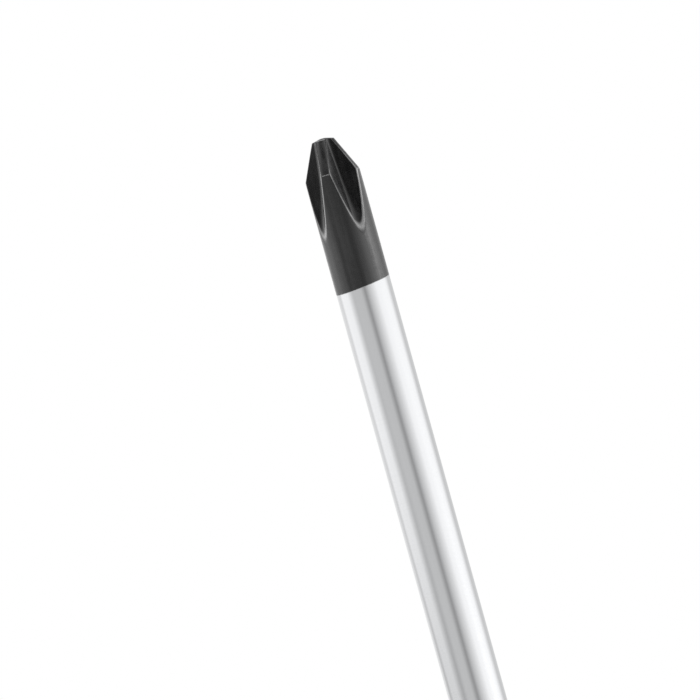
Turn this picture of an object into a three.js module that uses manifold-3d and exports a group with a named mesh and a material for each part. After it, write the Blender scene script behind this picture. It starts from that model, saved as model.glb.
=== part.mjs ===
// Cross-head screwdriver: a size 2 cross point on a 6 mm round blade, in a hard handle with soft inlays.
// Millimetres. +Z runs along the blade, from the flat butt of the handle at z = 0 up to the point.

import * as THREE from "three";
import { mergeVertices } from "three/addons/utils/BufferGeometryUtils.js";
import Module from "manifold-3d";

const wasm = await Module();
wasm.setup();

// Gap that neighbouring pieces keep from each other
const CLEARANCE = 0.3;

// Blade: one steel bar, with ears pressed out of it where the handle holds it
const SHANK_RADIUS = 3;
const BLADE_REACH = 100; // from the nose of the handle to the end of the point
const TANG_LENGTH = 60; // inside the handle
const TANG_CHAMFER = 0.8;
const EAR_ROWS = 2;
const EAR_HEIGHT = 1.6; // how far an ear stands out of the bar
const EAR_THICKNESS = 2.4;
const EAR_LENGTH = 9;
const EAR_SETBACK = 7; // from the end of the tang to the first row
const EAR_GAP = 9; // between the rows

// Cross point: four wings, left standing between four flutes that a V-rimmed wheel cuts
const WING_COUNT = 4;
const WING_TAPER = 26; // half angle of the taper that the wings' outer edges follow, in degrees
const POINT_END_RADIUS = 1.145; // where that taper meets the blunt end
const POINT_END_ANGLE = 140; // included angle of the blunt end, in degrees
const POINT_FLAT_RADIUS = 0.35;
const FLUTE_ANGLE = 120; // included angle of the V, in degrees
const FLUTE_ROOT_RADIUS = 0.9; // rounding at the bottom of the V
const FLUTE_CORE_RADIUS = 1.16; // from the axis to the bottom of a flute, at the point's end
const FLUTE_SLOPE = 5.75; // of the flute's bottom against the axis, at the point's end, in degrees
const FLUTE_WHEEL_RADIUS = 66; // the wheel's own radius makes the flute run out

// Core: hard inner piece moulded round the tang, splined on the outside
const CORE_WALL = 1.6; // over the ears
const CORE_END_WALL = 9.7; // behind the tang
const SPLINE_COUNT = 6;
const SPLINE_DEPTH = 0.7;

// End cap: butt of the handle, with a spigot that snaps into the shell and a hole to hang the tool by
const CAP_LENGTH = 24;
const BUTT_RADIUS = 10.5; // of the flat that the tool stands on
const DOME_HEIGHT = 10;
const SHOULDER_RADIUS = 15.6;
const SPIGOT_RADIUS = 9;
const SPIGOT_LENGTH = 12;
const SPIGOT_CHAMFER = 1;
const RIDGE_HEIGHT = 0.5;
const RIDGE_LENGTH = 2;
const HANG_HOLE_RADIUS = 4;
const HANG_HOLE_HEIGHT = 13;
const HANG_HOLE_FLARE = 2.5; // rounding of the hole's mouths

// Shell: lobed hard barrel. Heights are from the butt, setbacks are from the nose
const BELLY_RADIUS = 17;
const BELLY_HEIGHT = 40;
const WAIST_RADIUS = 11.6;
const WAIST_SETBACK = 28;
const GUARD_RADIUS = 13.6;
const GUARD_SETBACK = 13.5;
const NOSE_RADIUS = 7.2;
const NOSE_WALL = 7; // between the core's front and the nose
const LOBE_DEPTH = 0.55; // how far a lobe stands out of the mean barrel

// Grip pads: soft inlays, one to a lobe, each in a pocket of the shell
const PAD_COUNT = 6;
const PAD_HALF_ANGLE = 21; // degrees
const PAD_DEPTH = 2.2;
const PAD_PROUD = 0.35;
const PAD_CAP_MARGIN = 6; // from the shell's rear edge to the pads
const PAD_NOSE_SETBACK = 22.5; // from the nose to the pads
const PAD_END_LENGTH = 7; // of a pad's rounded end

// Collar: soft six-sided ring in a groove at the guard, which stops the tool from rolling
const COLLAR_SIDES = 6;
const COLLAR_LENGTH = 9;
const COLLAR_THICKNESS = 3;
const COLLAR_PROUD = 0.2; // how far its flats stand out of the guard
const COLLAR_CORNER_RADIUS = 4;
const COLLAR_EDGE_RADIUS = 0.9;

// Fineness of the round surfaces
const BAR_SIDES = 48;
const HOLE_SIDES = 24;
const WHEEL_SIDES = 360;
const BARREL_SIDES = 48;
const BARREL_RINGS = 17;
const DOME_RINGS = 5;
const PAD_STEPS_ACROSS = 6;
const PAD_STEPS_ALONG = 7;
const PAD_STEPS_ROUND = 3;
const CORNER_STEPS = 4;
const OVERSHOOT = 1; // how far a cutter reaches past the face that it opens

// Places along the axis, each built on the one before
const CAP_TOP = CAP_LENGTH;
const SHELL_START = CAP_TOP + CLEARANCE;
const SPIGOT_END = CAP_TOP + SPIGOT_LENGTH;
const CORE_START = SPIGOT_END + CLEARANCE;
const TANG_END = CORE_START + CORE_END_WALL;
const HANDLE_LENGTH = TANG_END + TANG_LENGTH;
const CORE_END = HANDLE_LENGTH - NOSE_WALL;
const POINT_TOP = HANDLE_LENGTH + BLADE_REACH;
const POINT_END = POINT_TOP - (POINT_END_RADIUS - POINT_FLAT_RADIUS) / tangent(POINT_END_ANGLE / 2);
const WING_SHOULDER = POINT_END - (SHANK_RADIUS - POINT_END_RADIUS) / tangent(WING_TAPER);
const WAIST = HANDLE_LENGTH - WAIST_SETBACK;
const GUARD = HANDLE_LENGTH - GUARD_SETBACK;
const PAD_START = SHELL_START + PAD_CAP_MARGIN;
const PAD_END = HANDLE_LENGTH - PAD_NOSE_SETBACK;
const CORE_RADIUS = SHANK_RADIUS + EAR_HEIGHT + CLEARANCE + CORE_WALL + SPLINE_DEPTH;

function tangent(degrees) {
  return Math.tan(THREE.MathUtils.degToRad(degrees));
}

// Solids

// A closed geometry as a solid that can be cut and joined.
function solidOf(geometry) {
  const loose = geometry.index ? geometry.toNonIndexed() : geometry;
  const bare = new THREE.BufferGeometry().setAttribute("position", loose.getAttribute("position"));
  const merged = mergeVertices(bare);
  return new wasm.Manifold(
    new wasm.Mesh({
      numProp: 3,
      vertProperties: merged.getAttribute("position").array,
      triVerts: new Uint32Array(merged.index.array),
    }),
  );
}

// A solid as a geometry that a mesh can show.
function geometryOf(solid) {
  const mesh = solid.getMesh();
  const geometry = new THREE.BufferGeometry();
  geometry.setAttribute("position", new THREE.BufferAttribute(mesh.vertProperties, mesh.numProp));
  geometry.setIndex(new THREE.BufferAttribute(mesh.triVerts, 1));
  geometry.computeVertexNormals();
  return geometry;
}

// A profile of [radius, z] points, from the axis round to the axis again, turned about Z.
function turned(profile, sides) {
  const points = profile.map(([radius, z]) => new THREE.Vector2(radius, z));
  return solidOf(new THREE.LatheGeometry(points, sides).rotateX(Math.PI / 2));
}

// A round bar along Z.
function bar(radius, start, end, sides = BAR_SIDES) {
  return turned([[0, start], [radius, start], [radius, end], [0, end]], sides);
}

// An outline in X and Y, drawn out along Z.
function drawnOut(shape, start, end) {
  const geometry = new THREE.ExtrudeGeometry(shape, { depth: end - start, bevelEnabled: false });
  return solidOf(geometry.translate(0, 0, start));
}

// A stack of rings with the same number of points, skinned, and closed by a fan at each end.
function lofted(rings) {
  const size = rings[0].length;
  const points = rings.flat();
  const faces = [];
  for (let ring = 0; ring + 1 < rings.length; ring += 1) {
    for (let i = 0; i < size; i += 1) {
      const a = ring * size + i;
      const b = ring * size + ((i + 1) % size);
      faces.push(a, b, a + size, b, b + size, a + size);
    }
  }
  const last = (rings.length - 1) * size;
  const bottom = points.push(centreOf(rings[0])) - 1;
  const top = points.push(centreOf(rings.at(-1))) - 1;
  for (let i = 0; i < size; i += 1) {
    const next = (i + 1) % size;
    faces.push(bottom, next, i, top, last + i, last + next);
  }
  return solidOf(new THREE.BufferGeometry().setFromPoints(points).setIndex(faces));
}

function centreOf(ring) {
  const sum = ring.reduce((total, point) => total.add(point), new THREE.Vector3());
  return sum.divideScalar(ring.length);
}

// A point at an angle and radius about Z.
function polar(radius, angle, z) {
  return new THREE.Vector3(radius * Math.cos(angle), radius * Math.sin(angle), z);
}

// Evenly spaced numbers from start to end, both included.
function spaced(start, end, steps) {
  return Array.from({ length: steps + 1 }, (_, i) => start + ((end - start) * i) / steps);
}

// Shape of the handle, shared by the shell, the pads, the collar and the end cap

// The stations where the barrel is thickest or thinnest, from the butt to the nose.
const STATIONS = [
  { z: DOME_HEIGHT, radius: SHOULDER_RADIUS, lobe: 0.5 * LOBE_DEPTH },
  { z: BELLY_HEIGHT, radius: BELLY_RADIUS, lobe: LOBE_DEPTH },
  { z: WAIST, radius: WAIST_RADIUS, lobe: LOBE_DEPTH },
  { z: GUARD, radius: GUARD_RADIUS, lobe: 0 },
  { z: HANDLE_LENGTH, radius: NOSE_RADIUS, lobe: 0 },
];

// A station's value at any height, eased so that the barrel is level at each station.
function eased(z, key) {
  const next = Math.max(1, STATIONS.findIndex((station) => z <= station.z));
  const [from, to] = [STATIONS[next - 1], STATIONS[next]];
  return THREE.MathUtils.lerp(from[key], to[key], THREE.MathUtils.smoothstep(z, from.z, to.z));
}

// Mean radius of the handle: a quarter ellipse over the dome of the butt, then the eased stations.
function meanRadius(z) {
  if (z >= DOME_HEIGHT) return eased(z, "radius");
  const drop = (DOME_HEIGHT - z) / DOME_HEIGHT;
  return BUTT_RADIUS + (SHOULDER_RADIUS - BUTT_RADIUS) * Math.sqrt(1 - drop * drop);
}

// How far a lobe stands out at a height: nothing on the flat of the butt.
function lobeHeight(z) {
  return z >= DOME_HEIGHT ? eased(z, "lobe") : (eased(DOME_HEIGHT, "lobe") * z) / DOME_HEIGHT;
}

// The handle's outside at a height and angle.
function barrelRadius(z, angle) {
  return meanRadius(z) + lobeHeight(z) * Math.cos(PAD_COUNT * angle);
}

function barrel(heights) {
  const angles = spaced(0, 2 * Math.PI, BARREL_SIDES).slice(0, -1);
  return lofted(heights.map((z) => angles.map((angle) => polar(barrelRadius(z, angle), angle, z))));
}

// Blade

// The two rows of ears, the second a quarter turn from the first. Slots for them are grown all round.
function ears(grow) {
  const inner = 0.5 * SHANK_RADIUS;
  const outer = SHANK_RADIUS + EAR_HEIGHT + grow;
  const half = 0.5 * EAR_LENGTH + grow;
  const outline = new THREE.Shape();
  outline.moveTo(-inner, -half).lineTo(inner, -half).lineTo(outer, -half + EAR_HEIGHT);
  outline.lineTo(outer, half - EAR_HEIGHT).lineTo(inner, half).lineTo(-inner, half);
  outline.lineTo(-outer, half - EAR_HEIGHT).lineTo(-outer, -half + EAR_HEIGHT);
  const thickness = EAR_THICKNESS + 2 * grow;
  const plate = drawnOut(outline, -0.5 * thickness, 0.5 * thickness).rotate([90, 0, 0]);
  return Array.from({ length: EAR_ROWS }, (_, row) => {
    const z = TANG_END + EAR_SETBACK + 0.5 * EAR_LENGTH + row * (EAR_LENGTH + EAR_GAP);
    return plate.rotate([0, 0, row * 90]).translate([0, 0, z]);
  });
}

// The wheel that cuts a flute on the +X side: a disc whose rim is a V with a rounded bottom.
function fluteWheel() {
  const slope = THREE.MathUtils.degToRad(FLUTE_SLOPE);
  const flank = THREE.MathUtils.degToRad(FLUTE_ANGLE / 2);
  const reach = 2 * SHANK_RADIUS; // of a flank, past the outside of the bar
  const roundCentre = FLUTE_WHEEL_RADIUS - FLUTE_ROOT_RADIUS;
  const turns = spaced(flank - Math.PI / 2, Math.PI / 2 - flank, CORNER_STEPS);
  const round = turns.map((turn) => [
    roundCentre + FLUTE_ROOT_RADIUS * Math.cos(turn),
    FLUTE_ROOT_RADIUS * Math.sin(turn),
  ]);
  const [edgeRadius, edgeHeight] = round.at(-1);
  const rimRadius = edgeRadius - reach * Math.cos(flank);
  const rimHeight = edgeHeight + reach * Math.sin(flank);
  const rim = [[rimRadius, -rimHeight], ...round, [rimRadius, rimHeight]];
  const profile = [[0, -rimHeight], ...rim, [0, rimHeight]];
  return turned(profile, WHEEL_SIDES)
    .rotate([90, 0, 0])
    .translate([
      FLUTE_CORE_RADIUS + FLUTE_WHEEL_RADIUS * Math.cos(slope),
      0,
      POINT_END + FLUTE_WHEEL_RADIUS * Math.sin(slope),
    ]);
}

function bladeSolid() {
  const profile = [
    [0, TANG_END],
    [SHANK_RADIUS - TANG_CHAMFER, TANG_END],
    [SHANK_RADIUS, TANG_END + TANG_CHAMFER],
    [SHANK_RADIUS, WING_SHOULDER],
    [POINT_END_RADIUS, POINT_END],
    [POINT_FLAT_RADIUS, POINT_TOP],
    [0, POINT_TOP],
  ];
  const wheel = fluteWheel();
  let blade = turned(profile, BAR_SIDES);
  for (const ear of ears(0)) blade = blade.add(ear);
  for (let flute = 0; flute < WING_COUNT; flute += 1) {
    blade = blade.subtract(wheel.rotate([0, 0, ((flute + 0.5) * 360) / WING_COUNT]));
  }
  return blade;
}

// Core

// Round outline with shallow splines, grown by a gap for the cavity that takes it.
function splinedOutline(grow) {
  const angles = spaced(0, 2 * Math.PI, BAR_SIDES).slice(0, -1);
  const points = angles.map((angle) => {
    const radius = CORE_RADIUS + grow - 0.5 * SPLINE_DEPTH * (1 - Math.cos(SPLINE_COUNT * angle));
    return new THREE.Vector2(radius * Math.cos(angle), radius * Math.sin(angle));
  });
  return new THREE.Shape(points);
}

function coreSolid() {
  const bore = bar(SHANK_RADIUS + CLEARANCE, TANG_END - CLEARANCE, CORE_END + OVERSHOOT);
  let core = drawnOut(splinedOutline(0), CORE_START, CORE_END).subtract(bore);
  for (const slot of ears(CLEARANCE)) core = core.subtract(slot);
  return core;
}

// End cap

// Spigot with its snap ridge, or the socket that takes it when grown by a gap.
function spigot(start, grow) {
  const radius = SPIGOT_RADIUS + grow;
  const middle = CAP_TOP + 0.5 * SPIGOT_LENGTH;
  const ridge = 0.5 * RIDGE_LENGTH + grow;
  return turned(
    [
      [0, start],
      [radius, start],
      [radius, middle - ridge - RIDGE_HEIGHT],
      [radius + RIDGE_HEIGHT, middle - ridge],
      [radius + RIDGE_HEIGHT, middle + ridge],
      [radius, middle + ridge + RIDGE_HEIGHT],
      [radius, SPIGOT_END - SPIGOT_CHAMFER + grow],
      [radius - SPIGOT_CHAMFER, SPIGOT_END + grow],
      [0, SPIGOT_END + grow],
    ],
    BAR_SIDES,
  );
}

// The hanging hole along X, with rounded mouths.
function hangHole() {
  const surface = barrelRadius(HANG_HOLE_HEIGHT, 0);
  const turns = spaced(0, Math.PI / 2, CORNER_STEPS);
  const mouth = turns.map((turn) => [
    HANG_HOLE_RADIUS + HANG_HOLE_FLARE * (1 - Math.cos(turn)),
    surface - HANG_HOLE_FLARE * (1 - Math.sin(turn)),
  ]);
  const wide = HANG_HOLE_RADIUS + HANG_HOLE_FLARE;
  const outside = surface + OVERSHOOT;
  const upper = [...mouth, [wide, outside], [0, outside]];
  const lower = upper.map(([radius, z]) => [radius, -z]).reverse();
  return turned([...lower, ...upper], HOLE_SIDES)
    .rotate([0, 90, 0])
    .translate([0, 0, HANG_HOLE_HEIGHT]);
}

function capSolid() {
  const dome = spaced(0, Math.PI / 2, DOME_RINGS).map((turn) => DOME_HEIGHT * (1 - Math.cos(turn)));
  const sides = spaced(DOME_HEIGHT, CAP_TOP, DOME_RINGS).slice(1);
  return barrel([...dome, ...sides]).add(spigot(CAP_TOP - OVERSHOOT, 0)).subtract(hangHole());
}

// Grip pads

// Heights and shares of full width along a pad: rounded ends and a straight middle.
function padStations(grow) {
  const start = PAD_START - grow;
  const end = PAD_END + grow;
  const turns = spaced(0, Math.PI / 2, PAD_STEPS_ROUND + 1).slice(1);
  const rise = turns.map((turn) => ({
    z: start + PAD_END_LENGTH * (1 - Math.cos(turn)),
    share: Math.sin(turn),
  }));
  const fall = rise.map(({ z, share }) => ({ z: start + end - z, share })).reverse();
  const middle = spaced(start + PAD_END_LENGTH, end - PAD_END_LENGTH, PAD_STEPS_ALONG).slice(1, -1);
  return [...rise, ...middle.map((z) => ({ z, share: 1 })), ...fall];
}

// One pad on the +X side, or its pocket when grown by a gap and carried past the outside.
function padSolid(grow, proud) {
  const halfAngle = THREE.MathUtils.degToRad(PAD_HALF_ANGLE);
  const rings = padStations(grow).map(({ z, share }) => {
    const floor = meanRadius(z) - PAD_DEPTH - grow;
    const half = halfAngle * share + grow / meanRadius(z);
    const angles = spaced(-half, half, PAD_STEPS_ACROSS);
    const outside = angles.map((angle) => polar(barrelRadius(z, angle) + proud, angle, z));
    const inside = angles.map((angle) => polar(floor, angle, z)).reverse();
    return [...outside, ...inside];
  });
  return lofted(rings);
}

// Angle of each pad about the axis, in degrees.
function padTurn(index) {
  return (index * 360) / PAD_COUNT;
}

// Collar

// Distance from the axis to the collar's flats and to its bore, and the height where it starts.
const COLLAR_FLAT = GUARD_RADIUS + COLLAR_PROUD;
const COLLAR_BORE = COLLAR_FLAT - COLLAR_THICKNESS;
const COLLAR_START = GUARD - 0.5 * COLLAR_LENGTH;

// A regular outline with rounded corners, given by the distance from its centre to a flat.
function roundedPolygon(flat, sides, cornerRadius) {
  const step = (2 * Math.PI) / sides;
  const centre = (flat - cornerRadius) / Math.cos(step / 2);
  const outline = new THREE.Shape();
  for (let corner = 0; corner < sides; corner += 1) {
    const angle = corner * step;
    const x = centre * Math.cos(angle);
    const y = centre * Math.sin(angle);
    outline.absarc(x, y, cornerRadius, angle - step / 2, angle + step / 2, false);
  }
  return outline;
}

function collarSolid() {
  const inset = COLLAR_FLAT - COLLAR_EDGE_RADIUS;
  const outline = roundedPolygon(inset, COLLAR_SIDES, COLLAR_CORNER_RADIUS - COLLAR_EDGE_RADIUS);
  const geometry = new THREE.ExtrudeGeometry(outline, {
    depth: COLLAR_LENGTH - 2 * COLLAR_EDGE_RADIUS,
    curveSegments: CORNER_STEPS,
    bevelSize: COLLAR_EDGE_RADIUS,
    bevelThickness: COLLAR_EDGE_RADIUS,
    bevelSegments: CORNER_STEPS / 2,
  });
  const ring = solidOf(geometry.translate(0, 0, COLLAR_START + COLLAR_EDGE_RADIUS));
  const end = COLLAR_START + COLLAR_LENGTH;
  return ring.subtract(bar(COLLAR_BORE, COLLAR_START - OVERSHOOT, end + OVERSHOOT));
}

// The groove that the collar sits in, cut round the outside of the shell.
function collarGroove() {
  const start = COLLAR_START - CLEARANCE;
  const end = COLLAR_START + COLLAR_LENGTH + CLEARANCE;
  const outside = GUARD_RADIUS + COLLAR_THICKNESS;
  const left = bar(COLLAR_BORE - CLEARANCE, start - OVERSHOOT, end + OVERSHOOT);
  return bar(outside, start, end).subtract(left);
}

// Shell

function shellSolid() {
  const heights = spaced(SHELL_START, HANDLE_LENGTH, BARREL_RINGS);
  const socket = spigot(SHELL_START - OVERSHOOT, CLEARANCE);
  const cavity = drawnOut(splinedOutline(CLEARANCE), SPIGOT_END, CORE_END + CLEARANCE);
  const bore = bar(SHANK_RADIUS + CLEARANCE, CORE_END, HANDLE_LENGTH + OVERSHOOT);
  const pocket = padSolid(CLEARANCE, OVERSHOOT);
  let shell = barrel(heights).subtract(collarGroove());
  for (const hollow of [socket, cavity, bore]) shell = shell.subtract(hollow);
  for (let pad = 0; pad < PAD_COUNT; pad += 1) {
    shell = shell.subtract(pocket.rotate([0, 0, padTurn(pad)]));
  }
  return shell;
}

// Assembly

const STEEL = new THREE.MeshStandardMaterial({ color: 0xd3d5d8, roughness: 0.28, metalness: 1 });
const CORE_PLASTIC = new THREE.MeshStandardMaterial({ color: 0x8d9093, roughness: 0.6, metalness: 0 });
const HARD_PLASTIC = new THREE.MeshStandardMaterial({ color: 0x4b4e52, roughness: 0.45, metalness: 0 });
const SOFT_PLASTIC = new THREE.MeshStandardMaterial({ color: 0x1b1c1e, roughness: 0.8, metalness: 0 });

const screwdriver = new THREE.Group();

function place(name, geometry, material, turnDegrees = 0) {
  const mesh = new THREE.Mesh(geometry, material);
  mesh.name = name;
  mesh.rotation.z = THREE.MathUtils.degToRad(turnDegrees);
  screwdriver.add(mesh);
}

place("blade", geometryOf(bladeSolid()), STEEL);
place("handle_core", geometryOf(coreSolid()), CORE_PLASTIC);
place("handle_shell", geometryOf(shellSolid()), HARD_PLASTIC);
place("end_cap", geometryOf(capSolid()), HARD_PLASTIC);
place("front_collar", geometryOf(collarSolid()), SOFT_PLASTIC);

const padGeometry = geometryOf(padSolid(0, PAD_PROUD));
for (let pad = 0; pad < PAD_COUNT; pad += 1) {
  place(`grip_pad_${pad + 1}`, padGeometry, SOFT_PLASTIC, padTurn(pad));
}

export default screwdriver;
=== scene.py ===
"""Looks of a cross-head screwdriver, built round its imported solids.

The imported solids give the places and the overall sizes. This script makes each visible piece again as a fine
mesh, gives it its finish, and sets up the floor, the light and the camera. Lengths are in metres.
"""

from __future__ import annotations

import logging
import math
from collections.abc import Callable, Mapping, Sequence
from dataclasses import dataclass, field
from enum import Enum

import bmesh
import bpy
from mathutils import Matrix, Vector

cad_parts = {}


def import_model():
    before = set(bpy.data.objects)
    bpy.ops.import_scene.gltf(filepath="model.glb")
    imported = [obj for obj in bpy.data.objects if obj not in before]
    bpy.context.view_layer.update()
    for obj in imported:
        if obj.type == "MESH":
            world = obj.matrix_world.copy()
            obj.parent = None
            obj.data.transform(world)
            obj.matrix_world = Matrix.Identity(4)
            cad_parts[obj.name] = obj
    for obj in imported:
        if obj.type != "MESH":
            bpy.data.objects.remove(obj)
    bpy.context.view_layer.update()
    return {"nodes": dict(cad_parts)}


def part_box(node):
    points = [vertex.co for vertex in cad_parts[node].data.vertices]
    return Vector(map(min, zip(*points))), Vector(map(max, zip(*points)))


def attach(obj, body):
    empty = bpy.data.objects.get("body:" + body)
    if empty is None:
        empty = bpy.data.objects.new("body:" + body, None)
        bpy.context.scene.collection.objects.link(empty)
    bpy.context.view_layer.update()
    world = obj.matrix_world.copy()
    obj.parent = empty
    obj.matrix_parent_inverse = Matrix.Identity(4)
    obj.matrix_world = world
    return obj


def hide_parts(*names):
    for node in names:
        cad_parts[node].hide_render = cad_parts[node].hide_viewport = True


LOG = logging.getLogger("screwdriver")
MM = 0.001
UP = Vector((0.0, 0.0, 1.0))
WHITE = (1.0, 1.0, 1.0, 1.0)
BODY = "root"
EDGE_WEAR = "edge_wear"
CORNER_STEPS = 6
TURN_DOUBLINGS = 3
SHARP_ANGLE = 40.0

# Distances within which vertices are merged, along the seams of a turn and after a cut
SEAM = 0.0001 * MM
WELD = 0.004 * MM

# Places of a Mix node's colours among its sockets
MIX_FIRST = 6
MIX_SECOND = 7
MIX_RESULT = 2

Point = tuple[float, float]
Triple = tuple[float, float, float]
Colour = tuple[float, float, float, float]
Ring = tuple[Point, ...]
Settings = Mapping[str, object]
Sockets = Mapping[int | str, object]


class Slot(Enum):
    """Names of the record's material slots, which the materials built here take as their names."""

    BLADE = "blade_steel"
    CORE = "core_plastic"
    HARD = "hard_plastic"
    SOFT = "soft_plastic"


# Shader maths


class Wire:
    """A number in a node tree, which Python arithmetic carries on as Math nodes."""

    def __init__(self, graph: Graph, socket: bpy.types.NodeSocket) -> None:
        """Wraps a node's output socket."""
        self.graph = graph
        self.socket = socket

    def math(self, operation: str, first: Wire | float, second: Wire | float) -> Wire:
        """The result of a Math node with two operands."""
        return self.graph.wire("ShaderNodeMath", 0, {"operation": operation}, {0: first, 1: second})

    def __add__(self, other: Wire | float) -> Wire:
        """Self plus other."""
        return self.math("ADD", self, other)

    def __radd__(self, other: float) -> Wire:
        """Other plus self."""
        return self.math("ADD", other, self)

    def __sub__(self, other: Wire | float) -> Wire:
        """Self minus other."""
        return self.math("SUBTRACT", self, other)

    def __rsub__(self, other: float) -> Wire:
        """Other minus self."""
        return self.math("SUBTRACT", other, self)

    def __mul__(self, other: Wire | float) -> Wire:
        """Self times other."""
        return self.math("MULTIPLY", self, other)

    def __rmul__(self, other: float) -> Wire:
        """Other times self."""
        return self.math("MULTIPLY", other, self)

    def ramp(self, start: float, end: float) -> Wire:
        """A smooth step of this number.

        Args:
            start: Where the step is still 0.
            end: Where the step reaches 1.

        Returns:
            A number from 0 to 1.
        """
        settings = {"interpolation_type": "SMOOTHSTEP", "clamp": True}
        sockets = {"Value": self, "From Min": start, "From Max": end}
        return self.graph.wire("ShaderNodeMapRange", 0, settings, sockets)

    def between(self, low: float, high: float) -> Wire:
        """The number that lies this far, from 0 to 1, on the way from low to high."""
        return low + self * (high - low)

    def towards(self, goal: Wire | float, share: Wire | float) -> Wire:
        """This number moved a share of the way towards a goal."""
        return self + share * (goal - self)


class Graph:
    """A node tree, of a material or of the world, and the ways to add to it."""

    def __init__(self, tree: bpy.types.NodeTree) -> None:
        """Starts from an empty tree."""
        self.tree = tree
        tree.nodes.clear()

    def node(
        self, kind: str, settings: Settings | None = None, sockets: Sockets | None = None
    ) -> bpy.types.Node:
        """Adds a node.

        Args:
            kind: The node's type.
            settings: Its properties, set before its sockets; stops are a colour ramp's places and levels.
            sockets: The values of its inputs, or what is linked to them.

        Returns:
            The node.
        """
        node = self.tree.nodes.new(kind)
        for name, value in (settings or {}).items():
            if name == "stops":
                self._set_stops(node.color_ramp, value)
            else:
                setattr(node, name, value)
        for key, value in (sockets or {}).items():
            source = value.socket if isinstance(value, Wire) else value
            if isinstance(source, bpy.types.NodeSocket):
                self.tree.links.new(source, node.inputs[key])
            else:
                node.inputs[key].default_value = source
        return node

    @staticmethod
    def _set_stops(ramp: bpy.types.ColorRamp, stops: Sequence[Point]) -> None:
        """Gives a colour ramp its grey stops.

        Args:
            ramp: The colour ramp.
            stops: Each stop's place and level.
        """
        while len(ramp.elements) < len(stops):
            ramp.elements.new(1.0)
        for element, (position, level) in zip(ramp.elements, stops):
            element.position = position
            element.color = (level, level, level, 1.0)

    def wire(
        self, kind: str, output: int | str, settings: Settings | None = None, sockets: Sockets | None = None
    ) -> Wire:
        """Adds a node, as node() does, and wraps one of its outputs."""
        return Wire(self, self.node(kind, settings, sockets).outputs[output])

    def mix_colours(self, share: Wire, first: object, second: object) -> bpy.types.NodeSocket:
        """Mixes two colours, or their sockets, with a share of the second."""
        sockets = {0: share, MIX_FIRST: first, MIX_SECOND: second}
        return self.node("ShaderNodeMix", {"data_type": "RGBA"}, sockets).outputs[MIX_RESULT]

    def dot(self, place_at: bpy.types.NodeSocket, direction: Vector) -> Wire:
        """The length of a vector along a fixed direction."""
        sockets = {0: place_at, 1: tuple(direction)}
        return self.wire("ShaderNodeVectorMath", "Value", {"operation": "DOT_PRODUCT"}, sockets)


@dataclass(frozen=True)
class Grain:
    """Grain of a noise: its size along X, Y and Z, and how many finer layers it has."""

    x: float
    y: float
    z: float
    detail: float


class MaterialGraph(Graph):
    """A new material, its node tree and its object coordinates."""

    def __init__(self, name: str) -> None:
        """Makes the material and its texture coordinates.

        Args:
            name: The material's name.
        """
        self.material = bpy.data.materials.new(name)
        self.material.use_nodes = True
        super().__init__(self.material.node_tree)
        self.place = self.node("ShaderNodeTexCoord").outputs["Object"]

    def noise(self, grain: Grain) -> Wire:
        """Adds a noise on the object's coordinates.

        Args:
            grain: Its grain.

        Returns:
            The noise, from 0 to 1.
        """
        scale = (1.0 / grain.x, 1.0 / grain.y, 1.0 / grain.z)
        mapped = self.node("ShaderNodeMapping", None, {"Vector": self.place, "Scale": scale}).outputs[0]
        sockets = {"Vector": mapped, "Scale": 1.0, "Detail": grain.detail}
        return self.wire("ShaderNodeTexNoise", 0, None, sockets)

    def bump(self, height: Wire, depth: float) -> bpy.types.NodeSocket:
        """Turns a height from 0 to 1 into the normal of a relief of some depth."""
        sockets = {"Height": height, "Distance": depth, "Strength": 1.0}
        return self.node("ShaderNodeBump", None, sockets).outputs[0]

    def surface(self, sockets: Sockets) -> bpy.types.Material:
        """Closes the tree with its shader.

        Args:
            sockets: The shader's values and links.

        Returns:
            The material.
        """
        shader = self.node("ShaderNodeBsdfPrincipled", None, sockets)
        self.node("ShaderNodeOutputMaterial", None, {"Surface": shader.outputs[0]})
        return self.material


# Finishes


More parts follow.
